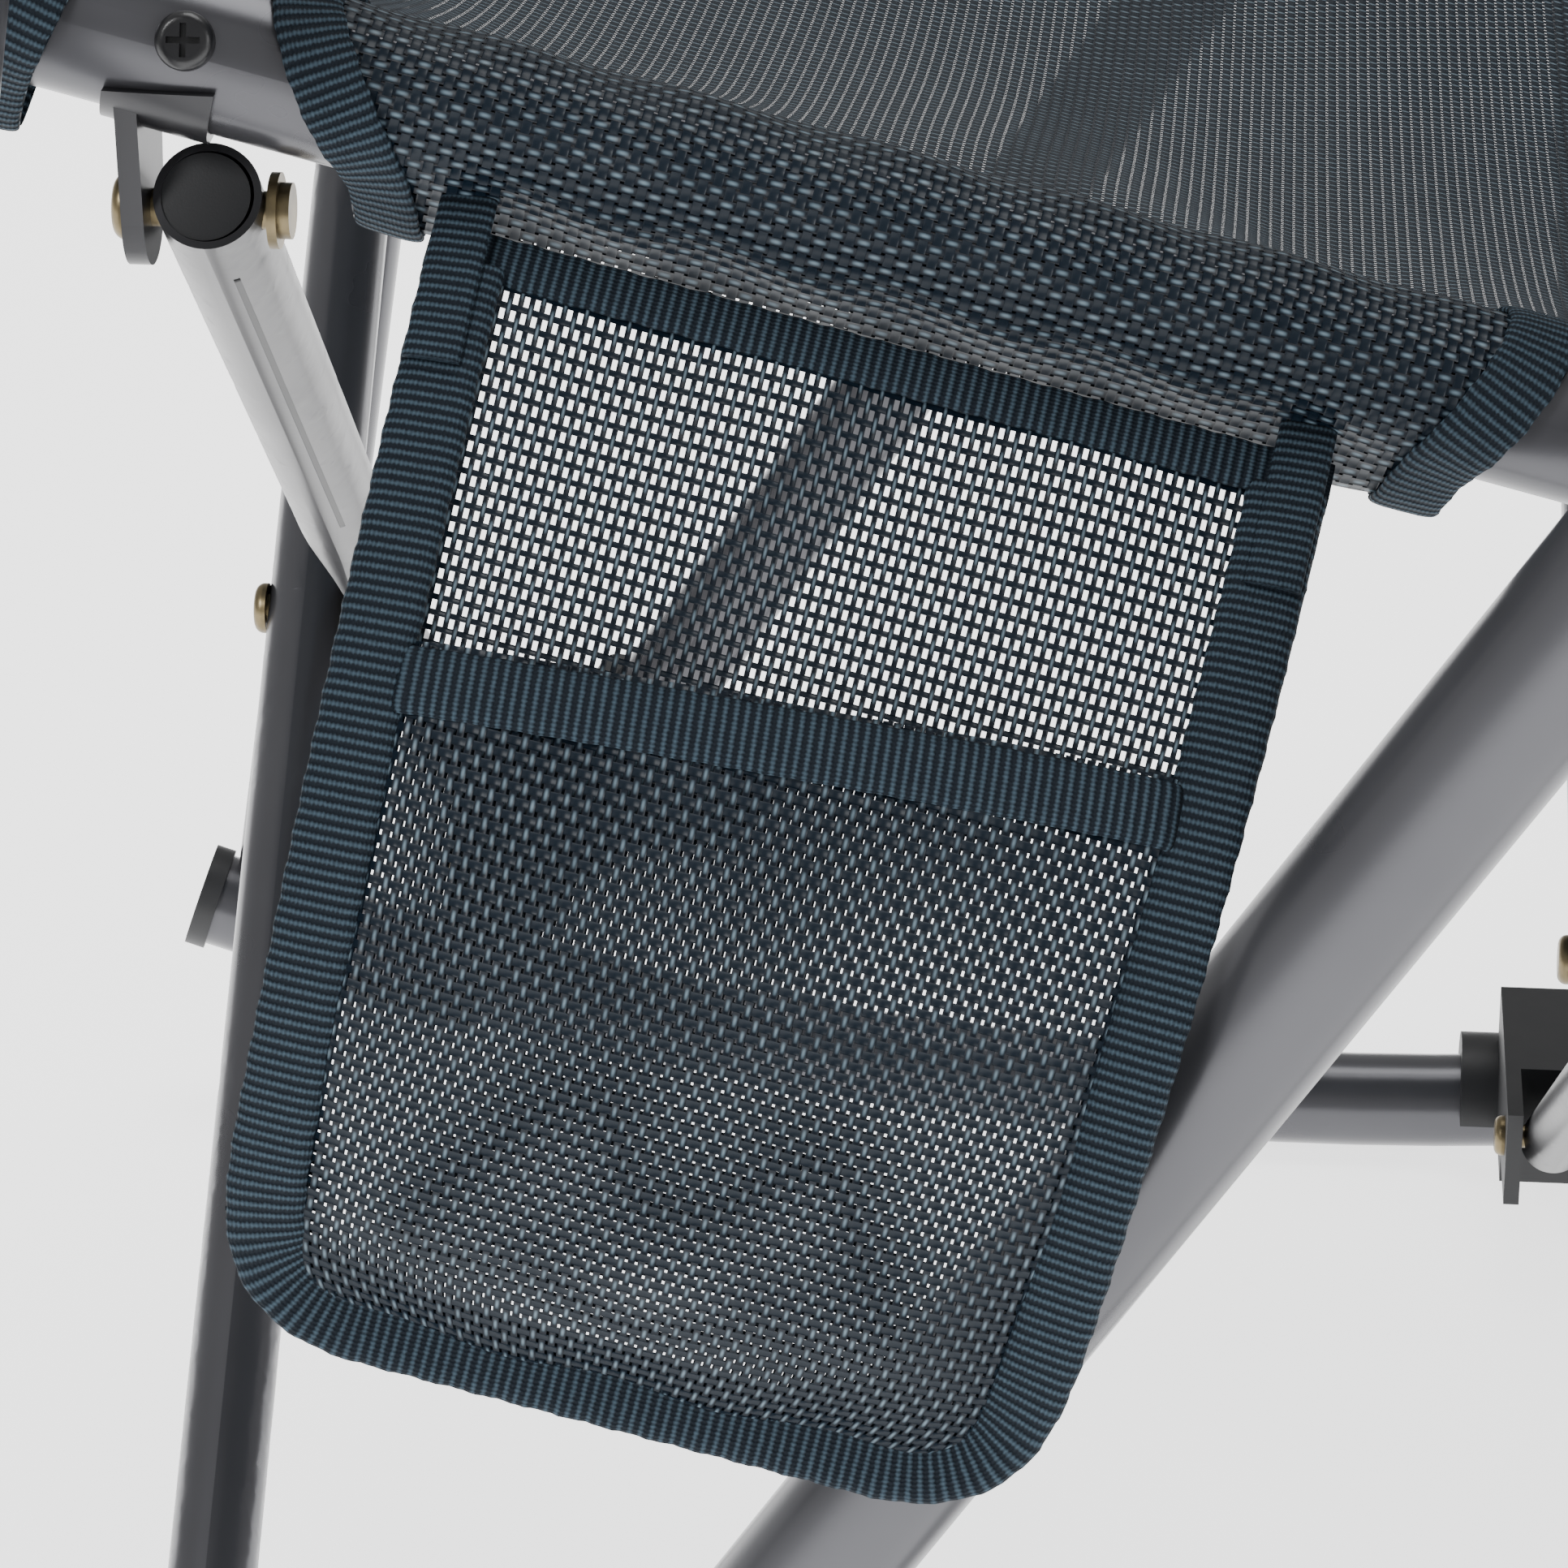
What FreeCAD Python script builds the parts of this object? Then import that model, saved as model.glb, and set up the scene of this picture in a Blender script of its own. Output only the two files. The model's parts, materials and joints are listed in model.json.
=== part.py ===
import FreeCAD, Part
import math
import os

os.makedirs("parts", exist_ok=True)
Vector = FreeCAD.Vector

# Folding camp rocking chair. Millimetres, +Z up, +X to the sitter's left, -Y to the front.
# The right-hand pieces are the left-hand ones mirrored, unless a cross bar sets their place.

# Seat rails
rail_x = 258.0            # seat rail centre line from the chair's middle
rail_height = 492.0       # rail centre above the floor at the rail screw
rail_screw_y = -200.0     # where the rail's height is given
screw_from_bar = -1.0     # screw along the rail from the cross bar's top
rail_slope = 14.5         # degrees, falling to the back
rail_front_y = -295.0
rail_back_y = 155.0
tube_radius = 12.5        # rails, diagonal legs, uprights and runners
tube_wall = 1.5

# Cross braces: two pairs of bars, the rear pair set back along the slope of the rails
bar_radius = 8.5
bar_wall = 1.2
bar_overhang = 7.5        # bar beyond its end pivot
front_foot_height = 105.5
rear_pair_setback = 272.0
bar_a_planes = (-223.0, -229.5, -236.0)    # y at the foot, the middle and the top
bar_b_planes = (-223.0, -214.0, -199.0)
crushed_half_depth = 3.75
crushed_half_length = 48.0
crush_run_out = 48.0
spacer_radius = 6.0

# Rivets
rivet_radius = 3.0
rivet_clearance = 0.08
open_pivot_clearance = 0.3
head_radius = 5.2
head_height = 2.6
washer_radius = 6.0
washer_thickness = 1.5

# Side frames
side_reach = 60.0         # side frame's plane outside the rail's centre line
roll_radius = 950.0
runner_middle_y = -15.0
runner_front_y = -312.0
runner_back_y = 288.0
front_leg_radius = 11.0
front_leg_foot_y = -296.0
front_leg_top_y = -208.0
arm_height = 650.0
diagonal_foot_y = -246.5
diagonal_top_height = 694.0
upright_foot_y = 265.0
upright_bend = (160.0, 600.0)
upright_top = (280.0, 960.0)
upright_bend_radius = 180.0
coping_gap = 0.1
elbow_radius = 14.5
elbow_bend = 35.0
elbow_socket = 55.0
armrest_width = 52.0
armrest_length = 300.0
armrest_thickness = 22.0
armrest_outset = 4.0

# Hubs, brackets and caps
hub_wall = 4.0
hub_ring_wall = 5.0
hub_length = 46.0
hub_half_height = 13.0
fork_gap = 0.8
saddle_thickness = 1.6
saddle_length = 17.0
ear_thickness = 3.5
ear_half_width = 11.0
ear_nose_radius = 9.0
swing_gap = 0.6
cap_wall = 1.4
cap_length = 16.0
runner_cap_length = 1.5    # short, to clear the legs welded near the runner's ends
plug_clearance = 0.25
spacer_clearance = 0.35
pad_thickness = 2.0
screw_head_radius = 4.6
screw_head_height = 2.8
screw_shank_radius = 2.0
screw_lift = 22.0         # degrees above level
fit_gap = 0.05

# Fabric
sleeve_gap = 0.1
sleeve_end_gap = 6.0      # from the rail's end, so that the leaning cap clears it
sleeve_half_width = 14.6
sleeve_sag = 3.0
sleeve_half_height = 17.5
sling_gap = 0.7
sling_thickness = 2.4
seat_sag = 40.0
back_bow = 25.0
front_notch = (-20.5, 22.0)    # along the rail from the bracket's bar
rear_notch = (-73.0, 35.0)
back_sleeve_heights = ((455.0, 595.0), (725.0, 940.0))
pocket_front_y = -163.0
pocket_back_y = -24.0
pocket_below_rail = 16.0
pocket_thickness = 6.0
pocket_outset = 14.0
pocket_front_drop = 148.0
pocket_back_drop = 144.0
pocket_front_shift = -28.5
pocket_back_shift = -42.0
pocket_leg_gap = 2.0
pocket_fullness = 2.7
pocket_belly = 6.0

slope = math.radians(rail_slope)
along_rail = Vector(0, math.cos(slope), -math.sin(slope))
side_x = rail_x + side_reach
runner_radius = roll_radius - tube_radius
corner_reach = math.hypot(bar_radius, bar_overhang)
pivot_drop = tube_radius + saddle_thickness + corner_reach + swing_gap
rear_drop = rear_pair_setback * math.tan(slope)


def rail_z(y):
    return rail_height - (y - rail_screw_y) * math.tan(slope)


top_pivot_height = rail_z(bar_b_planes[2]) - pivot_drop
brace_half_height = (top_pivot_height - front_foot_height) / 2
bar_half_length = math.hypot(rail_x, brace_half_height)
brace_middle_height = front_foot_height + brace_half_height


def runner_z(y):
    return roll_radius - math.sqrt(runner_radius ** 2 - (y - runner_middle_y) ** 2)


def rod(start, end, radius):
    axis = end - start
    return Part.makeCylinder(radius, axis.Length, start, axis)


def pipe(start, end, radius, wall):
    return rod(start, end, radius).cut(rod(start, end, radius - wall))


def box(x, y, z):
    """Box from three (low, high) pairs."""
    size = [high - low for low, high in (x, y, z)]
    return Part.makeBox(*size, Vector(x[0], y[0], z[0]))


def bent_path(points, bend_radius):
    """Straight runs joined by tangent arcs."""
    edges = []
    start = points[0]
    for before, corner, after in zip(points, points[1:], points[2:]):
        incoming = (corner - before).normalize()
        outgoing = (after - corner).normalize()
        turn = incoming.getAngle(outgoing)
        reach = bend_radius * math.tan(turn / 2)
        arc_start = corner - incoming * reach
        arc_end = corner + outgoing * reach
        inward = (outgoing - incoming).normalize()
        arc_middle = corner + inward * (bend_radius / math.cos(turn / 2) - bend_radius)
        edges.append(Part.makeLine(start, arc_start))
        edges.append(Part.Arc(arc_start, arc_middle, arc_end).toShape())
        start = arc_end
    edges.append(Part.makeLine(start, points[-1]))
    return Part.Wire(edges)


def swept(points, bend_radius, radius):
    ring = Part.Wire(Part.makeCircle(radius, points[0], points[1] - points[0]))
    return bent_path(points, bend_radius).makePipeShell([ring], True, False)


def runner_rod(radius, start_angle, end_angle):
    """Round rod along the runner's arc, angles in radians from its lowest point."""
    middle = Vector(side_x, runner_middle_y, roll_radius)
    tangent = Vector(0, math.cos(start_angle), math.sin(start_angle))
    start = middle + Vector(0, math.sin(start_angle), -math.cos(start_angle)) * runner_radius
    disc = Part.Face(Part.Wire(Part.makeCircle(radius, start, tangent)))
    return disc.revolve(middle, Vector(1, 0, 0), math.degrees(end_angle - start_angle))


front_angle = math.asin((runner_front_y - runner_middle_y) / runner_radius)
back_angle = math.asin((runner_back_y - runner_middle_y) / runner_radius)
runner_whole = runner_rod(tube_radius, front_angle, back_angle)
runner_clear = runner_rod(tube_radius + coping_gap, front_angle, back_angle)

upright_points = [
    Vector(side_x, upright_foot_y, runner_z(upright_foot_y)),
    Vector(side_x, *upright_bend),
    Vector(side_x, *upright_top),
]
lean = (upright_top[0] - upright_bend[0]) / (upright_top[1] - upright_bend[1])
diagonal_foot = Vector(side_x, diagonal_foot_y, runner_z(diagonal_foot_y))
diagonal_top = Vector(
    side_x, upright_bend[0] + (diagonal_top_height - upright_bend[1]) * lean, diagonal_top_height
)
diagonal_direction = (diagonal_top - diagonal_foot).normalize()
front_leg_foot = Vector(side_x, front_leg_foot_y, runner_z(front_leg_foot_y))
arm_front = Vector(side_x, front_leg_top_y, arm_height)
leg_direction = (arm_front - front_leg_foot).normalize()
arm_direction = Vector(0, 1, 0)


def diagonal_at(height):
    return diagonal_foot + diagonal_direction * ((height - diagonal_foot.z) / diagonal_direction.z)


def rivet(pivot, front_y, back_y):
    """Domed head in front, washer and peened tail behind, axis along Y."""
    head = Part.makeCylinder(head_radius, head_height, Vector(pivot.x, front_y - head_height, pivot.z),
                             Vector(0, 1, 0))
    head = head.makeFillet(head_height * 0.7, [head.Edges[2]])
    tail_y = back_y + washer_thickness
    tail = Part.makeCylinder(head_radius * 0.85, head_height * 0.7, Vector(pivot.x, tail_y, pivot.z),
                             Vector(0, 1, 0))
    shank = rod(Vector(pivot.x, front_y - 1, pivot.z), Vector(pivot.x, tail_y + 1, pivot.z), rivet_radius)
    return head.fuse([shank, tail]).removeSplitter()


def washer(pivot, start_y, thickness, radius):
    start = Vector(pivot.x, start_y, pivot.z)
    end = start + Vector(0, thickness, 0)
    return rod(start, end, radius).cut(rod(start, end, rivet_radius + fit_gap))


def rivet_hole(pivot, clearance, reach=40.0):
    along = Vector(0, reach, 0)
    return rod(pivot - along, pivot + along, rivet_radius + clearance)


def smooth(share):
    share = min(max(share, 0.0), 1.0)
    return share * share * (3 - 2 * share)


def bar_frame(lean_sign, planes, setback):
    """Middle, direction and level offset function of a cross bar."""
    direction = Vector(lean_sign * rail_x, 0, brace_half_height).normalize()
    drop = setback * math.tan(slope)
    middle = Vector(0, setback, brace_middle_height - drop)

    def plane(share):
        target = planes[2] if share > 0 else planes[0]
        return planes[1] + (target - planes[1]) * abs(share)

    def at(share):
        return middle + direction * (bar_half_length * share) + Vector(0, plane(share), 0)

    return direction, at


def cross_bar(lean_sign, planes, setback, half_depth, hole_clearances):
    """Tube along the bar, pressed flatter round its middle pivot."""
    direction, at = bar_frame(lean_sign, planes, setback)
    across = Vector(0, 1, 0).cross(direction)
    end_share = 1 + bar_overhang / bar_half_length
    run_out = (crushed_half_length + crush_run_out) / bar_half_length
    flat = crushed_half_length / bar_half_length
    shares = [flat + (run_out - flat) * step / 8 for step in range(9)]
    stations = [-end_share] + [-share for share in reversed(shares)] + [0.0] + shares + [end_share]

    def section(share, inset):
        blend = smooth((abs(share) - flat) / (run_out - flat))
        depth = half_depth + (bar_radius - half_depth) * blend
        width = bar_radius + (bar_radius - depth) * 0.5
        points = []
        for step in range(16):
            angle = math.tau * step / 16
            points.append(at(share) + across * ((width - inset) * math.cos(angle))
                          + Vector(0, (depth - inset) * math.sin(angle), 0))
        curve = Part.BSplineCurve()
        curve.interpolate(points, PeriodicFlag=True)
        return Part.Wire(curve.toShape())

    outer = Part.makeLoft([section(share, 0) for share in stations], True, True)
    inner = Part.makeLoft([section(share, bar_wall) for share in stations], True, True)
    bar = outer.cut(inner)
    for share, clearance in zip((-1, 0, 1), hole_clearances):
        bar = bar.cut(rivet_hole(at(share), clearance))
    return bar


def bar_plugs(lean_sign, planes, setback):
    direction, at = bar_frame(lean_sign, planes, setback)
    plugs = []
    for end in (-1, 1):
        outward = direction * end
        tip = at(end) + outward * bar_overhang
        depth = bar_overhang - rivet_radius - 0.7
        plug = rod(tip - outward * depth, tip - outward * 0.4, bar_radius - bar_wall - plug_clearance)
        plugs.append(plug.cut(rivet_hole(at(end), rivet_clearance)))
    return Part.makeCompound(plugs)


def centre_rivet(setback):
    """Rivet through both bars of a pair, with the spacer washers between them."""
    pivot = bar_frame(1, bar_a_planes, setback)[1](0)
    front_y = pivot.y - bar_radius - 0.1
    between = pivot.y + bar_radius + 0.1
    flat_front = bar_b_planes[1] + setback - crushed_half_depth - spacer_clearance
    flat_back = bar_b_planes[1] + setback + crushed_half_depth + spacer_clearance + 0.1
    spacer = washer(pivot, between, flat_front - between, spacer_radius)
    back_washer = washer(pivot, flat_back, washer_thickness, washer_radius)
    return Part.makeCompound([rivet(pivot, front_y, flat_back), spacer, back_washer])


def hub(pivot, anchor, ring, anchor_rod):
    """Moulded hub: a fork round the bar's foot, a body out to the side frame and a saddle on it."""
    fork_inner = pivot.x - corner_reach - 2
    fork_root = pivot.x + corner_reach + 1.5
    slot = bar_radius + fork_gap
    low_y, high_y = pivot.y - slot - hub_wall, pivot.y + slot + hub_wall
    low_z, high_z = pivot.z - hub_half_height, pivot.z + hub_half_height
    fork = box((fork_inner, fork_root + 1), (low_y, high_y), (low_z, high_z))
    body = box((fork_root, side_x), (min(low_y, anchor.y), max(high_y, anchor.y)),
               (min(low_z, anchor.z), high_z))
    bar_space = box((fork_inner - 1, fork_root), (pivot.y - slot, pivot.y + slot), (low_z - 1, high_z + 1))
    moulding = fork.fuse([body, ring]).cut(bar_space).cut(anchor_rod)
    return moulding.cut(rivet_hole(pivot, fit_gap)).removeSplitter()


def front_hub(pivot):
    anchor = diagonal_at(pivot.z)
    half = diagonal_direction * (hub_length / 2)
    ring = rod(anchor - half, anchor + half, tube_radius + hub_ring_wall)
    return hub(pivot, anchor, ring, rod(diagonal_foot, diagonal_top, tube_radius + fit_gap))


def rear_hub(pivot):
    anchor = Vector(side_x, pivot.y, runner_z(pivot.y))
    half = Vector(0, hub_length / 2, 0)
    ring = rod(anchor - half, anchor + half, tube_radius + hub_ring_wall)
    below = box((side_x - 50, side_x + 50), (pivot.y - hub_length, pivot.y + hub_length), (-50, anchor.z))
    clear = runner_rod(tube_radius + fit_gap, front_angle, back_angle)
    return hub(pivot, anchor, ring.cut(below), clear)


def hub_rivet(pivot):
    reach = bar_radius + fork_gap + hub_wall
    return Part.makeCompound([
        rivet(pivot, pivot.y - reach, pivot.y + reach),
        washer(pivot, pivot.y + reach, washer_thickness, washer_radius),
    ])


def elbow():
    start = arm_front - leg_direction * elbow_socket
    end = arm_front + arm_direction * elbow_socket
    moulding = swept([start, arm_front, end], elbow_bend, elbow_radius)
    seat = elbow_bend * math.tan(leg_direction.getAngle(arm_direction) / 2) + 1
    sockets = [
        rod(start - leg_direction * 5, arm_front - leg_direction * seat, front_leg_radius + fit_gap),
        rod(end + arm_direction * 5, arm_front + arm_direction * seat, front_leg_radius + fit_gap),
    ]
    return moulding.cut(sockets), seat


def armrest():
    x = side_x + armrest_outset
    start_y = arm_front.y + elbow_socket + 3
    top = arm_height + front_leg_radius + 9
    rest = box((x - armrest_width / 2, x + armrest_width / 2), (start_y, start_y + armrest_length),
               (top - armrest_thickness, top))
    upright_edges = [edge for edge in rest.Edges if abs(edge.tangentAt(edge.FirstParameter).z) > 0.9]
    rest = rest.makeFillet(20, upright_edges)
    top_edges = [edge for edge in rest.Edges if edge.BoundBox.ZMin > top - 0.01]
    rest = rest.makeFillet(7, top_edges)
    arm = rod(arm_front, arm_front + arm_direction * 500, front_leg_radius + coping_gap)
    below = box((side_x - front_leg_radius, side_x + front_leg_radius), (start_y - 1, start_y + 400),
                (top - armrest_thickness - 1, arm_height))
    return rest.cut([arm, below])


def runner_pad(angle):
    half = 0.024
    pad = runner_rod(tube_radius + pad_thickness, angle - half, angle + half).cut(runner_whole)
    y = runner_middle_y + runner_radius * math.sin(angle)
    above = box((side_x - 30, side_x + 30), (y - 60, y + 60), (runner_z(y) - 2, runner_z(y) + 80))
    return pad.cut(above)


def runner_cap(angle, direction):
    cap = runner_rod(tube_radius + cap_wall, angle - direction * runner_cap_length / runner_radius,
                     angle + direction * 0.004)
    return cap.cut(runner_whole)


def sleeve_band(heights):
    low, high = heights
    outer = swept(upright_points, upright_bend_radius, sleeve_half_width)
    inner = swept(upright_points, upright_bend_radius, tube_radius + sleeve_gap)
    return outer.cut(inner).common(box((0, side_x + 100), (-100, 500), (low, high)))


def side_frame(foot_planes):
    """Pieces of one side frame, drawn on the left; foot_planes is the cross bars' place on it."""
    pieces = {}
    pieces["runner"] = runner_whole.cut(runner_rod(tube_radius - tube_wall, front_angle, back_angle))
    pieces["runner_caps"] = Part.makeCompound([runner_cap(front_angle, -1), runner_cap(back_angle, 1)])
    pieces["runner_pads"] = Part.makeCompound(
        [runner_pad(front_angle * 0.82), runner_pad(back_angle * 0.82)])
    elbow_shape, seat = elbow()
    pieces["arm_elbow"] = elbow_shape
    pieces["front_leg"] = pipe(front_leg_foot, arm_front - leg_direction * seat, front_leg_radius,
                               tube_wall).cut(runner_clear)
    diagonal_clear = rod(diagonal_foot, diagonal_top, tube_radius + coping_gap)
    arm_end = diagonal_at(arm_height)
    pieces["arm_tube"] = pipe(arm_front + arm_direction * seat, arm_end, front_leg_radius,
                              tube_wall).cut(diagonal_clear)
    upright_clear = swept(upright_points, upright_bend_radius, tube_radius + coping_gap)
    pieces["diagonal_leg"] = pipe(diagonal_foot, diagonal_top, tube_radius,
                                  tube_wall).cut([runner_clear, upright_clear])
    upright = swept(upright_points, upright_bend_radius, tube_radius)
    hollow = swept(upright_points, upright_bend_radius, tube_radius - tube_wall)
    pieces["rear_upright"] = upright.cut(hollow).cut(runner_clear)
    top_direction = (upright_points[2] - upright_points[1]).normalize()
    cap_start = upright_points[2] - top_direction * (cap_length - 4)
    cap = rod(cap_start, upright_points[2] + top_direction * 4, tube_radius + cap_wall)
    cap = cap.makeFillet(2.5, [edge for edge in cap.Edges if edge.BoundBox.ZMax > upright_top[1] + 5
                               and edge.Length > 60])
    pieces["upright_cap"] = cap.cut(upright)
    pieces["armrest"] = armrest()
    front_pivot = Vector(rail_x, foot_planes, front_foot_height)
    rear_pivot = front_pivot + Vector(0, rear_pair_setback, -rear_drop)
    pieces["front_hub"] = front_hub(front_pivot)
    pieces["rear_hub"] = rear_hub(rear_pivot)
    pieces["hub_rivets"] = Part.makeCompound([hub_rivet(front_pivot), hub_rivet(rear_pivot)])
    pieces["back_sleeve"] = Part.makeCompound([sleeve_band(heights) for heights in back_sleeve_heights])
    return pieces


def on_rail(y):
    return Vector(rail_x, y, rail_z(y))


def rail_bracket(pivot):
    """Ear in front of the bar's top, on a saddle under the rail."""
    ear_back = pivot.y - bar_radius - fork_gap
    ear_front = ear_back - ear_thickness
    top = rail_z(pivot.y) - 3
    corners = [
        Vector(rail_x - ear_half_width, ear_front, top),
        Vector(rail_x + ear_half_width, ear_front, top),
        Vector(rail_x + ear_nose_radius, ear_front, pivot.z),
        Vector(rail_x - ear_nose_radius, ear_front, pivot.z),
    ]
    plate = Part.Face(Part.makePolygon(corners + corners[:1])).extrude(Vector(0, ear_thickness, 0))
    nose = rod(Vector(rail_x, ear_front, pivot.z), Vector(rail_x, ear_back, pivot.z), ear_nose_radius)
    start = on_rail(ear_front + 0.2)
    saddle = pipe(start, start + along_rail * saddle_length, tube_radius + saddle_thickness,
                  saddle_thickness - fit_gap)
    above = box((rail_x - 40, rail_x + 40), (ear_front - 60, ear_front + 80), (top, top + 80))
    rail_clear = rod(on_rail(rail_front_y), on_rail(rail_back_y), tube_radius + fit_gap)
    bracket = plate.fuse([nose, saddle.cut(above)]).cut(rail_clear)
    return bracket.cut(rivet_hole(pivot, fit_gap)).removeSplitter()


def rail_rivet(pivot):
    ear_front = pivot.y - bar_radius - fork_gap - ear_thickness
    back = pivot.y + bar_radius + fork_gap
    return Part.makeCompound([rivet(pivot, ear_front, back),
                              washer(pivot, back, washer_thickness, washer_radius)])


def screw_axis(y):
    lift = math.radians(screw_lift)
    return on_rail(y), Vector(math.cos(lift), 0, math.sin(lift))


def rail_screw(y):
    """Pan head with a cross recess, outside the rail."""
    centre, out = screw_axis(y)
    seat = centre + out * (tube_radius - 0.2)
    head = Part.makeCylinder(screw_head_radius, screw_head_height, seat, out)
    head = head.makeFillet(screw_head_height * 0.6, [head.Edges[0]])
    for across in (Vector(0, 1, 0), out.cross(Vector(0, 1, 0))):
        blade = Part.makeBox(5.2, 1.0, 2.0, Vector(-2.6, -0.5, 0))
        blade.Placement = FreeCAD.Placement(seat + out * (screw_head_height - 1.2),
                                            FreeCAD.Rotation(across, across.cross(out), out, "XZY"))
        head = head.cut(blade)
    shank = rod(centre + out * (tube_radius - 6), seat + out, screw_shank_radius)
    rail = rod(on_rail(rail_front_y), on_rail(rail_back_y), tube_radius)
    return head.cut(rail).fuse(shank)


def seat_sleeve(bracket_y):
    """Sling sleeve round the rail, hanging a little, left open at the two brackets."""
    rear_y = bracket_y + rear_pair_setback
    stops = (rail_front_y + sleeve_end_gap, bracket_y + front_notch[0], bracket_y + front_notch[1],
             rear_y + rear_notch[0], rear_y + rear_notch[1], rail_back_y - sleeve_end_gap)
    bands = []
    for start_y, end_y in (stops[0:2], stops[2:4], stops[4:6]):
        start = on_rail(start_y)
        reach = along_rail * ((end_y - start_y) / math.cos(slope))
        centre = start - Vector(0, 0, sleeve_sag)
        loop = Part.Ellipse(centre + Vector(0, 0, sleeve_half_height),
                            centre + Vector(sleeve_half_width, 0, 0), centre)
        band = Part.Face(Part.Wire(loop.toShape())).extrude(reach)
        bore = rod(on_rail(start_y - 20), on_rail(end_y + 20), tube_radius + sleeve_gap)
        bands.append(band.cut(bore))
    return Part.makeCompound(bands)


def rail_set(top_plane):
    """Pieces of one seat rail, drawn on the left; top_plane is its cross bar's place on it."""
    front_pivot = Vector(rail_x, top_plane, top_pivot_height)
    rear_pivot = front_pivot + Vector(0, rear_pair_setback, -rear_drop)
    start, end = on_rail(rail_front_y), on_rail(rail_back_y)
    screw_ys = (top_plane + screw_from_bar, top_plane + screw_from_bar + rear_pair_setback)
    rail = pipe(start, end, tube_radius, tube_wall)
    for y in screw_ys:
        centre, out = screw_axis(y)
        rail = rail.cut(rod(centre + out * 2, centre + out * 20, screw_shank_radius + fit_gap))
    caps = []
    for tip, out in ((start, along_rail * -1), (end, along_rail)):
        flange = rod(tip, tip + out * 4, tube_radius + cap_wall)
        flange = flange.makeFillet(2.2, [flange.Edges[0]])
        caps.append(flange.fuse(rod(tip - out * cap_length, tip + out, tube_radius - tube_wall - fit_gap)))
    return {
        "rail": rail,
        "rail_caps": Part.makeCompound(caps),
        "rail_bracket_front": rail_bracket(front_pivot),
        "rail_bracket_rear": rail_bracket(rear_pivot),
        "rail_rivets": Part.makeCompound([rail_rivet(front_pivot), rail_rivet(rear_pivot)]),
        "rail_screws": Part.makeCompound([rail_screw(y) for y in screw_ys]),
        "seat_sleeve": seat_sleeve(top_plane),
    }


def sling_profile(half_width, sag, place):
    """Closed band across the chair, low in the middle by sag; place turns (x, down) into a point."""
    steps = 12
    shares = [-1 + 2 * step / steps for step in range(steps + 1)]
    upper = [place(half_width * share, sag * (1 - share ** 2)) for share in shares]
    lower = [place(half_width * share, sag * (1 - share ** 2) + sling_thickness) for share in shares]
    top_curve, low_curve = Part.BSplineCurve(), Part.BSplineCurve()
    top_curve.interpolate(upper)
    low_curve.interpolate(lower)
    return Part.Wire([top_curve.toShape(), Part.makeLine(upper[-1], lower[-1]), low_curve.toShape(),
                      Part.makeLine(lower[0], upper[0])])


def seat_sling():
    half_width = rail_x - sleeve_half_width - sling_gap
    start_y = rail_front_y + 4
    top = rail_z(start_y)
    profile = sling_profile(half_width, seat_sag, lambda x, down: Vector(x, start_y, top - down))
    reach = along_rail * ((rail_back_y - 6 - start_y) / math.cos(slope))
    return Part.Face(profile).extrude(reach)


def back_sling():
    half_width = side_x - sleeve_half_width - sling_gap
    low, high = back_sleeve_heights[0][0], back_sleeve_heights[1][1]
    whole = [Vector(0, point.y, point.z) for point in upright_points]
    run = (whole[1] - whole[0]).normalize()
    back = Vector(0, run.z, -run.y)
    profile = sling_profile(half_width, back_bow, lambda x, down: whole[0] + Vector(x, 0, 0) + back * down)
    sheet = bent_path(whole, upright_bend_radius).makePipeShell([profile], True, False)
    return sheet.common(box((-side_x, side_x), (-100, 500), (low, high)))


def side_pocket():
    """Flat fabric pocket hung from the left rail's sleeve, passing outside the diagonal leg."""
    top_x = rail_x + pocket_outset
    bottom_x = side_x + tube_radius + pocket_leg_gap + pocket_thickness
    sections = []
    for step in range(9):
        share = step / 8
        x = top_x + (bottom_x + pocket_belly - top_x) * (1 - (1 - share) ** pocket_fullness)
        corners = []
        for y, shift, drop in ((pocket_front_y, pocket_front_shift, pocket_front_drop),
                               (pocket_back_y, pocket_back_shift, pocket_back_drop)):
            z = rail_z(y) - pocket_below_rail - drop * share
            corners.append(Vector(x, y + shift * share, z))
        half = Vector(pocket_thickness / 2, 0, 0)
        front, back = corners
        sections.append(Part.makePolygon([front - half, back - half, back + half, front + half,
                                          front - half]))
    return Part.makeLoft(sections, True, True)


nodes = {}
sides = (("left", bar_a_planes[0], bar_b_planes[2]), ("right", bar_b_planes[0], bar_a_planes[2]))
for side, foot_plane, top_plane in sides:
    for pieces in (side_frame(foot_plane), rail_set(top_plane)):
        for name, shape in pieces.items():
            if side == "right":
                shape = shape.mirror(Vector(0, 0, 0), Vector(1, 0, 0))
            nodes[f"{name}_{side}"] = shape

for place, setback in (("front", 0.0), ("rear", rear_pair_setback)):
    open_top = open_pivot_clearance if place == "rear" else rivet_clearance
    a_clearances = (rivet_clearance, rivet_clearance, open_top)
    b_clearances = (open_top, rivet_clearance, open_top)
    nodes[f"bar_a_{place}"] = cross_bar(-1, bar_a_planes, setback, bar_radius, a_clearances)
    nodes[f"bar_b_{place}"] = cross_bar(1, bar_b_planes, setback, crushed_half_depth, b_clearances)
    nodes[f"bar_a_plugs_{place}"] = bar_plugs(-1, bar_a_planes, setback)
    nodes[f"bar_b_plugs_{place}"] = bar_plugs(1, bar_b_planes, setback)
    nodes[f"centre_rivet_{place}"] = centre_rivet(setback)

nodes["seat_sling"] = seat_sling()
nodes["back_sling"] = back_sling()
nodes["side_pocket"] = side_pocket()

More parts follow.
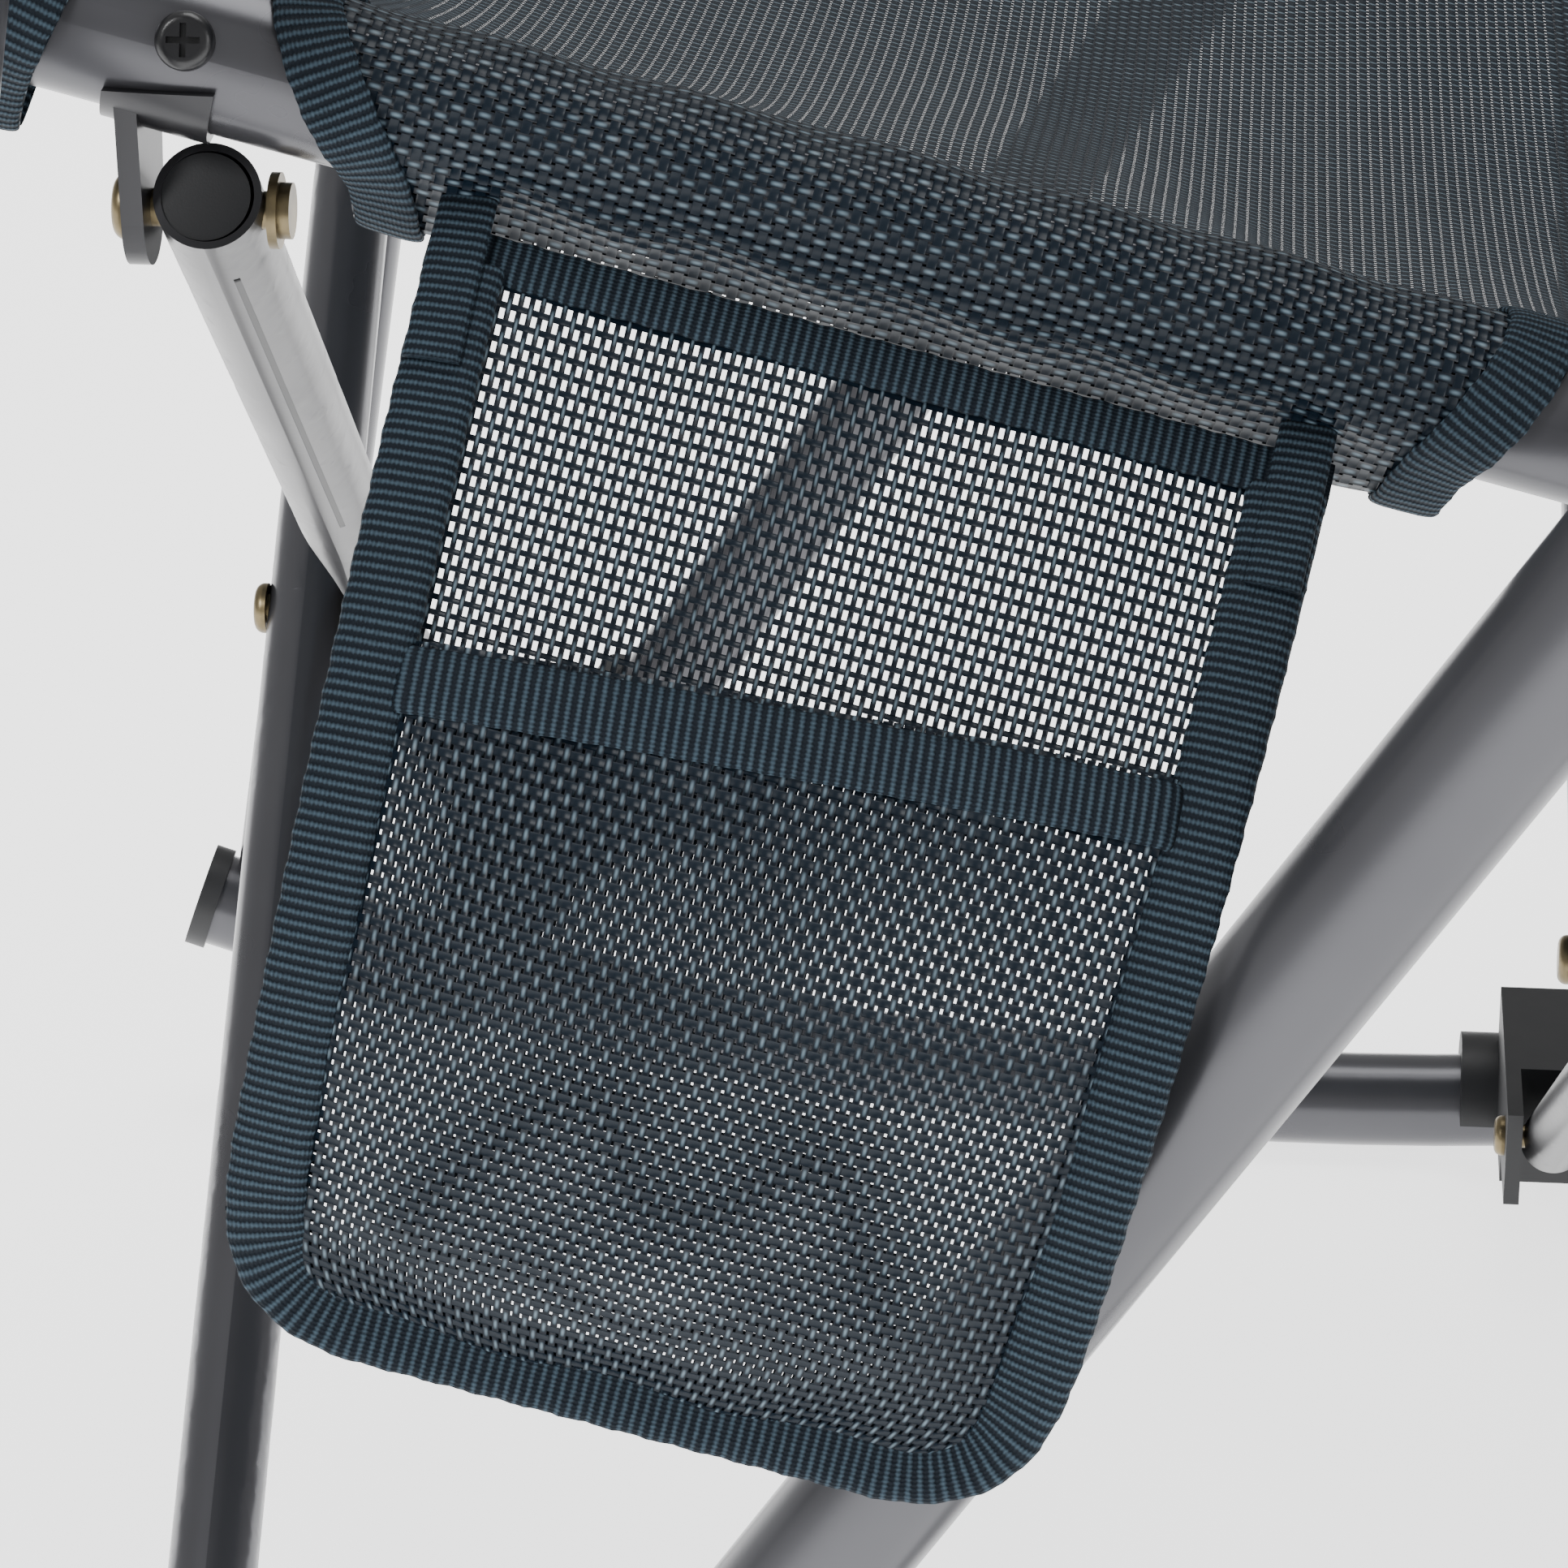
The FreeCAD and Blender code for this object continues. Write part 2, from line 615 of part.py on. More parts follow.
ends = Part.makeCompound([nodes["runner_caps_left"], nodes["upright_cap_left"]])
reach = ends.optimalBoundingBox(True, False)
to_origin = Vector(0, -(reach.YMin + reach.YMax) / 2, 0)
for name, shape in nodes.items():
    shape.translate(to_origin)
    shape.exportStep(f"parts/{name}.step")

print(f"{len(nodes)} nodes, {reach.YLength:.1f} deep, {reach.ZMax:.1f} high, moved {to_origin.y:.4f} in Y")
print(f"foot pivot z {front_foot_height:.4f}, middle {brace_middle_height:.4f}, top {top_pivot_height:.4f},"
      f" rear drop {rear_drop:.4f}")
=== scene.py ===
import json
import math
import bpy
import numpy as np
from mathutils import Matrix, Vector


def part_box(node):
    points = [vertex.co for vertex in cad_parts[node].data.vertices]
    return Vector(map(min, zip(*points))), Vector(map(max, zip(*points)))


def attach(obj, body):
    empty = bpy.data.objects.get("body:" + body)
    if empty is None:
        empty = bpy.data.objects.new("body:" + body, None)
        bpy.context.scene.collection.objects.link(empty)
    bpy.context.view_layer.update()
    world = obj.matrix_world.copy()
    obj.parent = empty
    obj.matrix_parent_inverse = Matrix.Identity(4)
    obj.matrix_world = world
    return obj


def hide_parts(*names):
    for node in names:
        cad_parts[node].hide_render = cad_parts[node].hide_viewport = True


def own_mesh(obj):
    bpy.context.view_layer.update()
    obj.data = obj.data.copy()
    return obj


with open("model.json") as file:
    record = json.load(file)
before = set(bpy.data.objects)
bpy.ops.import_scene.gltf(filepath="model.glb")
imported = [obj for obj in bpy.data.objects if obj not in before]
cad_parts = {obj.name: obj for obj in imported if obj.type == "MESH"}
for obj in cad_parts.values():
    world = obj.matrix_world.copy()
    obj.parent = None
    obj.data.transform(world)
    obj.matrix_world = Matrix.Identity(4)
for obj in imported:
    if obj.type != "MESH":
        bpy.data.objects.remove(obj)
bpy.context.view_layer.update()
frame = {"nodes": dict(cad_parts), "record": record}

print("frame loaded")

mm = 0.001
railSlope = math.radians(14.5)


# small tools

def linear(hexColour):
    # sRGB hex to linear: c/12.92 below 0.04045, else ((c + 0.055) / 1.055) to the power 2.4.
    parts = [int(hexColour[i:i + 2], 16) / 255 for i in (1, 3, 5)]
    return tuple(c / 12.92 if c <= 0.04045 else ((c + 0.055) / 1.055) ** 2.4 for c in parts) + (1.0,)


def addNode(tree, kind, inputs=None, **settings):
    # Adds one node, sets it, and fills its inputs with values, nodes or sockets.
    node = tree.nodes.new(kind)
    for name, value in settings.items():
        setattr(node, name, value)
    for key, value in (inputs or {}).items():
        if isinstance(value, bpy.types.Node):
            value = value.outputs[0]
        if isinstance(value, bpy.types.NodeSocket):
            tree.links.new(value, node.inputs[key])
        else:
            node.inputs[key].default_value = value
    return node


def newMaterial(name):
    material = bpy.data.materials.new(name)
    material.use_nodes = True
    tree = material.node_tree
    tree.nodes.clear()
    return material, tree


def finishMaterial(tree, shader):
    addNode(tree, "ShaderNodeOutputMaterial", {"Surface": shader.outputs["BSDF"]})


def gridMesh(name, points, uv, material, wrap=False, caps=False):
    # Mesh from a grid of points (rows, columns, 3), with uv in metres; wrap joins the last column to
    # the first, and caps closes the first and last rows.
    rows, columns = points.shape[:2]
    if wrap:
        points = points[:, :-1]
    width = points.shape[1]
    r, c = np.meshgrid(np.arange(rows - 1), np.arange(columns - 1), indexing="ij")
    nextColumn = (c + 1) % width if wrap else c + 1
    quads = np.stack([r * width + c, r * width + nextColumn, (r + 1) * width + nextColumn,
                      (r + 1) * width + c], axis=-1).reshape(-1, 4)
    loopUv = np.stack([uv[:-1, :-1], uv[:-1, 1:], uv[1:, 1:], uv[1:, :-1]], axis=2).reshape(-1, 2)
    faces = quads.tolist()
    if caps:
        faces += [list(range(width))[::-1], list(range((rows - 1) * width, rows * width))]
        loopUv = np.vstack([loopUv, np.zeros((2 * width, 2))])
    mesh = bpy.data.meshes.new(name)
    mesh.from_pydata(points.reshape(-1, 3).tolist(), [], faces)
    layer = mesh.uv_layers.new(name="UVMap")
    layer.data.foreach_set("uv", loopUv.astype(np.float32).ravel())
    mesh.polygons.foreach_set("use_smooth", np.ones(len(faces), dtype=bool))
    mesh.materials.append(material)
    mesh.update()
    piece = bpy.data.objects.new(name, mesh)
    bpy.context.collection.objects.link(piece)
    return piece


def unit(vectors):
    return vectors / np.maximum(np.linalg.norm(vectors, axis=-1, keepdims=True), 1e-12)


def strip(name, path, outward, width, thickness, material, waviness=0.0):
    # Folded tape along a path: a flat oval section, width across and thickness outward,
    # carried along the path; the width wavers by waviness.
    along = unit(np.gradient(path, axis=0))
    across = unit(np.cross(outward, along))
    outward = unit(np.cross(along, across))
    travel = np.concatenate([[0], np.cumsum(np.linalg.norm(np.diff(path, axis=0), axis=1))])
    angle = np.linspace(0, math.tau, 25)
    flat = np.sign(np.cos(angle)) * np.abs(np.cos(angle)) ** 0.5
    tall = np.sign(np.sin(angle)) * np.abs(np.sin(angle)) ** 0.8
    waver = 1 + waviness * (np.sin(travel * 900) + 0.6 * np.sin(travel * 2300 + 1))
    points = (path[:, None] + across[:, None] * (flat[None, :, None] * width / 2 * waver[:, None, None])
              + outward[:, None] * (tall[None, :, None] * thickness / 2))
    steps = np.hypot(np.diff(flat) * width / 2, np.diff(tall) * thickness / 2)
    reach = np.cumsum(np.concatenate([[0], steps]))
    uv = np.stack(np.broadcast_arrays(travel[:, None], reach[None, :]), axis=-1)
    return gridMesh(name, points, uv, material, wrap=True, caps=True)


# materials

def paintedSteel(name, settings):
    # powder-coated steel tube: satin, with a fine orange-peel ripple about 1.3 mm across
    material, tree = newMaterial(name)
    place = addNode(tree, "ShaderNodeTexCoord").outputs["Object"]
    peel = addNode(tree, "ShaderNodeTexNoise", {"Vector": place, "Scale": 1 / (1.3 * mm), "Detail": 2.0})
    cloud = addNode(tree, "ShaderNodeTexNoise", {"Vector": place, "Scale": 1 / (40 * mm), "Detail": 3.0})
    tone = addNode(tree, "ShaderNodeMix", {0: cloud.outputs["Fac"], 6: linear(settings["dark"]),
                                           7: linear(settings["light"])}, data_type="RGBA")
    rough = addNode(tree, "ShaderNodeMapRange", {0: cloud.outputs["Fac"], 3: settings["rough"] - 0.05,
                                                 4: settings["rough"] + 0.06})
    bump = addNode(tree, "ShaderNodeBump", {"Height": peel.outputs["Fac"], "Strength": 0.22,
                                            "Distance": 0.05 * mm})
    shader = addNode(tree, "ShaderNodeBsdfPrincipled", {
        "Base Color": tone.outputs[2], "Roughness": rough.outputs[0], "Normal": bump.outputs[0],
        "Metallic": settings["metal"], "Coat Weight": 0.25, "Coat Roughness": 0.2})
    finishMaterial(tree, shader)
    return material


def mouldedPlastic(name, settings):
    # injection-moulded nylon or rubber: a fine spark-eroded grain about 0.35 mm across
    material, tree = newMaterial(name)
    place = addNode(tree, "ShaderNodeTexCoord").outputs["Object"]
    grain = addNode(tree, "ShaderNodeTexNoise", {"Vector": place, "Scale": 1 / (0.35 * mm), "Detail": 3.0})
    scuff = addNode(tree, "ShaderNodeTexNoise", {"Vector": place, "Scale": 1 / (12 * mm), "Detail": 4.0})
    tone = addNode(tree, "ShaderNodeMix", {0: scuff.outputs["Fac"], 6: linear(settings["dark"]),
                                           7: linear(settings["light"])}, data_type="RGBA")
    bump = addNode(tree, "ShaderNodeBump", {"Height": grain.outputs["Fac"], "Strength": 0.35,
                                            "Distance": 0.06 * mm})
    rough = addNode(tree, "ShaderNodeMapRange", {0: scuff.outputs["Fac"], 3: settings["rough"] - 0.08,
                                                 4: settings["rough"] + 0.08})
    shader = addNode(tree, "ShaderNodeBsdfPrincipled", {
        "Base Color": tone.outputs[2], "Roughness": rough.outputs[0], "Normal": bump.outputs[0]})
    finishMaterial(tree, shader)
    return material


def rivetSteel(name):
    # zinc-plated steel, yellow passivated in patches and rubbed where the press formed it
    material, tree = newMaterial(name)
    place = addNode(tree, "ShaderNodeTexCoord").outputs["Object"]
    patch = addNode(tree, "ShaderNodeTexNoise", {"Vector": place, "Scale": 1 / (5 * mm), "Detail": 5.0})
    tone = addNode(tree, "ShaderNodeMix", {0: patch.outputs["Fac"], 6: linear("#3a3834"),
                                           7: linear("#9a8a66")}, data_type="RGBA")
    bump = addNode(tree, "ShaderNodeBump", {"Height": patch.outputs["Fac"], "Strength": 0.3,
                                            "Distance": 0.15 * mm})
    shader = addNode(tree, "ShaderNodeBsdfPrincipled", {
        "Base Color": tone.outputs[2], "Metallic": 0.9, "Roughness": 0.36, "Normal": bump.outputs[0]})
    finishMaterial(tree, shader)
    return material


def coatedMesh(name, settings):
    # PVC-coated polyester mesh in a plain weave: round shiny yarns with open squares between them.
    # Warp height = round section + swing of sin(pi b) with the warp's number, weft the opposite.
    material, tree = newMaterial(name)

    def calc(operation, first, second=0.0, third=0.0):
        return addNode(tree, "ShaderNodeMath", {0: first, 1: second, 2: third}, operation=operation)

    place = addNode(tree, "ShaderNodeSeparateXYZ", {0: addNode(tree, "ShaderNodeUVMap", uv_map="UVMap")})
    sides = []
    for axis, pitch in ((0, settings["warpPitch"]), (1, settings["weftPitch"])):
        sides.append(calc("DIVIDE", place.outputs[axis], pitch * mm))
    yarns = []
    for own, other, pitch, width, sign in (
            (sides[0], sides[1], settings["warpPitch"], settings["warpWidth"], 1.0),
            (sides[1], sides[0], settings["weftPitch"], settings["weftWidth"], -1.0)):
        offset = calc("ABSOLUTE", calc("SUBTRACT", calc("FRACT", own), 0.5))
        ratio = calc("MULTIPLY", offset, 2 * pitch / width)
        cover = calc("LESS_THAN", ratio, 1.0)
        roundness = calc("SQRT", calc("MAXIMUM", calc("SUBTRACT", 1.0, calc("MULTIPLY", ratio, ratio)), 0.0))
        parity = calc("COSINE", calc("MULTIPLY", calc("FLOOR", own), math.pi))
        wave = calc("SINE", calc("MULTIPLY", other, math.pi))
        swing = calc("MULTIPLY", calc("MULTIPLY", parity, sign), wave)
        height = calc("MULTIPLY", calc("ADD", calc("ADD", roundness, 1.2), swing), cover)
        yarns.append((cover, roundness, swing, height))
    cover = calc("MAXIMUM", yarns[0][0], yarns[1][0])
    height = calc("MAXIMUM", yarns[0][3], yarns[1][3])
    onTop = calc("GREATER_THAN", yarns[0][3], yarns[1][3])
    paintedGlintMask = calc("MULTIPLY", calc("MULTIPLY", onTop, calc("POWER", yarns[0][1], 9.0)),
                   calc("MAXIMUM", yarns[0][2], 0.0))
    solid = addNode(tree, "ShaderNodeTexCoord").outputs["Object"]
    patch = addNode(tree, "ShaderNodeTexNoise", {"Vector": solid, "Scale": 1 / (9 * mm), "Detail": 3.0})
    # painted highlight: the base colour of the top warp knuckles is mixed towards a pale glint colour, more in some
    # patches than others
    paintedGlintShare = calc("MULTIPLY", paintedGlintMask, calc("MULTIPLY_ADD", patch.outputs["Fac"], 0.9, 0.25))
    yarn = addNode(tree, "ShaderNodeMix", {0: onTop, 6: linear(settings["weft"]),
                                           7: linear(settings["warp"])}, data_type="RGBA")
    tone = addNode(tree, "ShaderNodeMix", {0: paintedGlintShare, 6: yarn.outputs[2],
                                           7: linear(settings["paintedGlint"])}, data_type="RGBA")
    bump = addNode(tree, "ShaderNodeBump", {"Height": height, "Strength": 1.0, "Distance": 0.16 * mm})
    shader = addNode(tree, "ShaderNodeBsdfPrincipled", {
        "Base Color": tone.outputs[2], "Roughness": 0.38, "Normal": bump.outputs[0], "Alpha": cover,
        "Specular IOR Level": 0.22})
    finishMaterial(tree, shader)
    return material


def ribbedTape(name):
    # woven polyester binding tape: ribs across it every 1.65 mm, each a row of small pale beads
    material, tree = newMaterial(name)
    place = addNode(tree, "ShaderNodeSeparateXYZ", {0: addNode(tree, "ShaderNodeUVMap", uv_map="UVMap")})
    rib = addNode(tree, "ShaderNodeMath", {0: place.outputs[0], 1: math.tau / (1.65 * mm)},
                  operation="MULTIPLY")
    ribWave = addNode(tree, "ShaderNodeMath", {0: rib}, operation="SINE")
    bead = addNode(tree, "ShaderNodeMath", {0: place.outputs[1], 1: math.tau / (0.7 * mm)},
                   operation="MULTIPLY")
    beadWave = addNode(tree, "ShaderNodeMath", {0: bead}, operation="SINE")
    solid = addNode(tree, "ShaderNodeTexCoord").outputs["Object"]
    fuzz = addNode(tree, "ShaderNodeTexNoise", {"Vector": solid, "Scale": 1 / (0.6 * mm), "Detail": 3.0})
    height = addNode(tree, "ShaderNodeMath", {0: beadWave, 1: 0.35, 2: ribWave}, operation="MULTIPLY_ADD")
    mixed = addNode(tree, "ShaderNodeMath", {0: fuzz.outputs["Fac"], 1: 1.6, 2: height},
                    operation="MULTIPLY_ADD")
    share = addNode(tree, "ShaderNodeMapRange", {0: mixed, 1: 0.5, 2: 2.4, 3: 0.0, 4: 0.6})
    tone = addNode(tree, "ShaderNodeMix", {0: share.outputs[0], 6: linear("#07111a"),
                                           7: linear("#4f6371")}, data_type="RGBA")
    bump = addNode(tree, "ShaderNodeBump", {"Height": mixed, "Strength": 0.9, "Distance": 0.18 * mm})
    shader = addNode(tree, "ShaderNodeBsdfPrincipled", {
        "Base Color": tone.outputs[2], "Roughness": 0.75, "Normal": bump.outputs[0], "Specular IOR Level": 0.2})
    finishMaterial(tree, shader)
    return material


framePaint = paintedSteel("powderCoatGrey",
    {"dark": "#48484c", "light": "#545458", "rough": 0.28, "metal": 0.6})
barPaint = paintedSteel("powderCoatSilver",
    {"dark": "#202023", "light": "#2a2a2d", "rough": 0.36, "metal": 0.55})
bracketPaint = paintedSteel("bracketSteel",
    {"dark": "#222225", "light": "#2e2e31", "rough": 0.38, "metal": 0.5})
seamShadow = paintedSteel("seamShadow", {"dark": "#161618", "light": "#202022", "rough": 0.6, "metal": 0.2})
plating = rivetSteel("passivatedSteel")
nylon = mouldedPlastic("blackNylon", {"dark": "#101113", "light": "#1b1c1f", "rough": 0.5})
armPlastic = mouldedPlastic("armPolypropylene", {"dark": "#17191c", "light": "#24262a", "rough": 0.55})
padRubber = mouldedPlastic("padRubber", {"dark": "#0e0e0f", "light": "#191919", "rough": 0.8})
screwBlack = mouldedPlastic("blackenedScrew", {"dark": "#0d0d0e", "light": "#1d1d20", "rough": 0.3})
# the glint colour is a painted highlight on the yarn knuckles, not a yarn colour
yarnLook = {"warp": "#07101a", "weft": "#0b1620", "paintedGlint": "#70838f"}
pocketMesh = coatedMesh("coatedMeshPocket", dict(yarnLook, warpPitch=1.67, weftPitch=2.1, warpWidth=0.88,
                                                 weftWidth=0.82))
frontMesh = coatedMesh("coatedMeshFront", dict(yarnLook, warpPitch=1.67, weftPitch=2.1, warpWidth=1.22,
                                               weftWidth=1.3))
slingMesh = coatedMesh("coatedMeshSling", dict(yarnLook, warpPitch=1.75, weftPitch=2.1, warpWidth=1.42,
                                               weftWidth=1.5))
seatMesh = coatedMesh("coatedMeshSeat", dict(yarnLook, warpPitch=1.75, weftPitch=2.1, warpWidth=1.62,
                                             weftWidth=1.62))
tape = ribbedTape("polyesterTape")
print("materials made")

slotLooks = {"frame_paint": framePaint, "bar_paint": barPaint, "bracket_steel": bracketPaint,
             "rivet_steel": plating, "black_nylon": nylon, "arm_plastic": armPlastic, "pad_rubber": padRubber,
             "mesh_fabric": slingMesh}
slotOfNode = {entry["node"]: entry["material_slot"] for entry in frame["record"]["subparts"]}
for nodeName, cadObject in frame["nodes"].items():
    look = screwBlack if nodeName.startswith("rail_screws") else slotLooks[slotOfNode[nodeName]]
    for index in range(len(cadObject.material_slots)):
        cadObject.material_slots[index].material = look
    if not cadObject.material_slots:
        cadObject.data.materials.append(look)


# side pocket

railLow, railHigh = (np.array(corner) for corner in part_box("rail_left"))
railMiddle = (railLow + railHigh) / 2
pocketHigh = np.array(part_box("side_pocket")[1])


def railHeight(y):
    return railMiddle[2] - (y - railMiddle[1]) * math.tan(railSlope)


pocket = {
    "frontTop": pocketHigh[1] - 0.139, "backTop": pocketHigh[1],
    "frontShift": -0.0285, "backShift": -0.042, "frontDrop": 0.148, "backDrop": 0.144,
    "belowRail": 0.016, "topX": railMiddle[0] + 0.014, "bottomX": pocketHigh[0] - 0.003,
    "fullness": 2.7, "cornerRadius": 0.024, "width": 0.143, "height": 0.166,
    "openingFront": 0.31, "openingBack": 0.255, "bulge": 0.0055,
    "tapeWidth": 0.0125, "tapeThickness": 0.0042,
}


def pocketSurface(s, v, lift):
    # Point of the pocket at share s from front to back and v from top to bottom, moved out by lift.
    # x = topX + (bottomX - topX)(1 - (1 - v)^fullness); the low corners are quarter rounds.
    p = pocket
    start = 1 - p["cornerRadius"] / p["height"]
    into = np.clip((v - start) / (1 - start), 0, 1)
    narrow = 1 - 2 * p["cornerRadius"] / p["width"] * (1 - np.sqrt(np.clip(1 - into ** 2, 0, 1)))
    s = 0.5 + (s - 0.5) * narrow
    frontY, backY = p["frontTop"] + p["frontShift"] * v, p["backTop"] + p["backShift"] * v
    frontZ = railHeight(p["frontTop"]) - p["belowRail"] - p["frontDrop"] * v
    backZ = railHeight(p["backTop"]) - p["belowRail"] - p["backDrop"] * v
    x = p["topX"] + (p["bottomX"] - p["topX"]) * (1 - (1 - v) ** p["fullness"])
    y = frontY + (backY - frontY) * s
    z = frontZ + (backZ - frontZ) * s
    points = np.stack(np.broadcast_arrays(x, y, z), axis=-1)
    tilt = (p["bottomX"] - p["topX"]) * p["fullness"] * (1 - v) ** (p["fullness"] - 1)
    outward = unit(np.stack(np.broadcast_arrays(p["frontDrop"] + 0 * s, 0 * s, tilt + 0 * s), axis=-1))
    return points + outward * lift[..., None]


def pocketUv(s, v):
    return np.stack(np.broadcast_arrays(s * pocket["width"], v * pocket["height"]), axis=-1)


s, v = np.meshgrid(np.linspace(0, 1, 61), np.linspace(0, 1, 71), indexing="xy")
puckers = 0.0006 * np.sin(s * 19 + 2 * v) * np.sin(v * 13 + 1)
pocketBack = gridMesh("pocketBackPanel", pocketSurface(s, v, puckers), pocketUv(s, v), pocketMesh)
opening = pocket["openingFront"] + (pocket["openingBack"] - pocket["openingFront"]) * s
vFront = opening + (1 - opening) * v
swell = pocket["bulge"] * (4 * s * (1 - s)) ** 0.45 * np.clip(4 * (1 - v) ** 0.9, 0, 1) ** 0.8 + 0.0008
tuck = 0.075
sFront = tuck + (1 - 2 * tuck) * s
pocketFront = gridMesh("pocketFrontPanel", pocketSurface(sFront, vFront * 0.975, swell + puckers),
                       pocketUv(sFront, vFront + 0.003), frontMesh)

# binding tape round the pocket: down the front edge, along the bottom and up the back edge
down = np.linspace(0, 1, 120)
across = np.linspace(0, 1, 90)
inset = pocket["tapeWidth"] / 2
zero = np.zeros
edgeShare = inset / pocket["width"]
edgeDrop = 1 - inset / pocket["height"]
frontEdge = pocketSurface(edgeShare + 0 * down, down * edgeDrop, zero(120) + 0.001)
bottomEdge = pocketSurface(edgeShare + across * (1 - 2 * edgeShare), edgeDrop + 0 * across, zero(90) + 0.001)
backEdge = pocketSurface(1 - edgeShare + 0 * down, (down * edgeDrop)[::-1], zero(120) + 0.001)
rim = np.vstack([frontEdge, bottomEdge[1:-1], backEdge])
travel = np.concatenate([[0], np.cumsum(np.linalg.norm(np.diff(rim, axis=0), axis=1))])
even = np.linspace(0, travel[-1], 420)
rim = np.stack([np.interp(even, travel, rim[:, k]) for k in range(3)], axis=-1)
kernel = np.ones(25) / 25
padded = np.vstack([np.repeat(rim[:1], 12, axis=0), rim, np.repeat(rim[-1:], 12, axis=0)])
rim = np.stack([np.convolve(padded[:, k], kernel, mode="valid") for k in range(3)], axis=-1)
rimOut = np.tile(unit(np.array([[0.85, 0.0, 0.5]])), (len(rim), 1))
pocketRim = strip("pocketBinding", rim, rimOut, pocket["tapeWidth"], pocket["tapeThickness"], tape, 0.018)

topEdge = pocketSurface(across, 0 * across + 0.002, zero(90) + 0.0005)
topOut = np.tile(unit(np.array([[0.55, 0.0, 0.8]])), (90, 1))
pocketTop = strip("pocketTopBinding", topEdge, topOut, 0.0085, 0.0022, tape, 0.03)
bandV = pocket["openingFront"] + (pocket["openingBack"] - pocket["openingFront"]) * across + 0.025
bandLift = pocket["bulge"] * (4 * across * (1 - across)) ** 0.45 + 0.0013
bandPath = pocketSurface(tuck + (1 - 2 * tuck) * across, bandV, bandLift)
openingBand = strip("pocketOpeningBand", bandPath, np.tile(unit(np.array([[0.8, 0.0, 0.6]])), (90, 1)),
                    0.0105, 0.0024, tape, 0.012)
tabs = []
for number, share in enumerate((0.035, 0.965)):
    line = pocketSurface(np.full(12, share), np.linspace(-0.03, 0.09, 12), zero(12) + 0.003)
    tabOut = np.tile(unit(np.array([[0.6, 0.0, 0.75]])), (12, 1))
    tabs.append(strip(f"pocketCornerTab{number + 1}", line, tabOut, 0.009, 0.0022, tape))
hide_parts("side_pocket")
pocketPieces = [pocketBack, pocketFront, pocketRim, pocketTop, openingBand] + tabs
print("pocket made")


# seat: sleeves on the rails and the sling between them

seat = {"sleeveRadius": 0.0134, "hang": 0.0065, "sag": 0.040, "edgeWidth": 0.011,
        "frontSlant": 0.023, "rearSlant": 0.018}


def loopPoint(y, turn, side, swell=0.0):
    # Point of a sleeve round a rail: radius = sleeveRadius + hang * (down share)^5, turn 0 is outward
    # and a quarter turn is up.
    radius = seat["sleeveRadius"] + swell + seat["hang"] * np.clip(-np.sin(turn), 0, 1) ** 5
    pinch = 1 - 0.35 * np.clip(-np.sin(turn), 0, 1) ** 3
    x = side * (railMiddle[0] + radius * np.cos(turn) * pinch)
    up = radius * np.sin(turn)
    return np.stack(np.broadcast_arrays(x, y + up * math.sin(railSlope), railHeight(y) + up * math.cos(railSlope)),
                    axis=-1)


def sleeveEnd(edge, slant, turn):
    # The cut edge slopes along the rail by slant from top to bottom, and is hollow in the middle.
    return edge + slant * (1 - np.sin(turn)) / 2


def seatSleeve(name, start, end, side, startSlant, endSlant, body):
    turn = np.linspace(-math.pi / 2, math.pi * 1.5, 73)
    first = sleeveEnd(start, startSlant, turn)
    last = sleeveEnd(end, endSlant, turn)
    share = np.linspace(0, 1, max(8, int(abs(end - start) / 0.003)))[:, None]
    y = first[None] + (last - first)[None] * share
    ripple = 0.0005 * np.sin(y * 210 + 2 * turn[None]) * np.sin(turn[None] * 3)
    points = loopPoint(y, np.broadcast_to(turn[None], y.shape), side, ripple)
    if side < 0:
        points = points[:, ::-1]
    around = np.linspace(0, math.tau * seat["sleeveRadius"], len(turn))
    uv = np.stack(np.broadcast_arrays(around[None], y), axis=-1)
    piece = gridMesh(name, points, uv, slingMesh, wrap=True)
    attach(piece, body)
    edges = []
    for label, edge, slant in (("Start", start, startSlant), ("End", end, endSlant)):
        if slant == 0:
            continue
        rimTurn = np.linspace(-math.pi / 2 + 0.05, math.pi * 1.5 - 0.05, 140)
        inward = seat["edgeWidth"] / 2 * (1 if label == "Start" else -1)
        path = loopPoint(sleeveEnd(edge, slant, rimTurn) + inward, rimTurn, side, 0.0006)
        middle = loopPoint(sleeveEnd(edge, slant, rimTurn) + inward, rimTurn, side, -0.008)
        edges.append(strip(f"{name}{label}Binding", path, unit(path - middle), seat["edgeWidth"],
                           0.0020, tape, 0.02))
        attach(edges[-1], body)
    return piece, edges


for side, body in ((1, "rail_left"), (-1, "rail_right")):
    node = "seat_sleeve_left" if side > 0 else "seat_sleeve_right"
    low, high = (np.array(corner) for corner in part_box(node))
    notch = 0.0 if side > 0 else -0.037
    rimStart = low[1] + 0.003
    frontEnd, middleStart = -0.2055 + notch, -0.1795 + notch
    middleEnd, rearStart = 0.022 + notch, 0.112 + notch
    bands = ((rimStart, frontEnd, 0, -0.006), (middleStart, middleEnd, 0.02, -0.012),
             (rearStart, high[1] - 0.003, 0.012, 0))
    for number, (start, end, startSlant, endSlant) in enumerate(bands):
        piece, edges = seatSleeve(f"seatSleeve{'Left' if side > 0 else 'Right'}{number + 1}", start, end, side,
                                  startSlant, endSlant, body)
        if number == 1:
            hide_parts(node)
print("sleeves made")

slingLow, slingHigh = (np.array(corner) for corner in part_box("seat_sling"))
halfSeat = slingHigh[0]


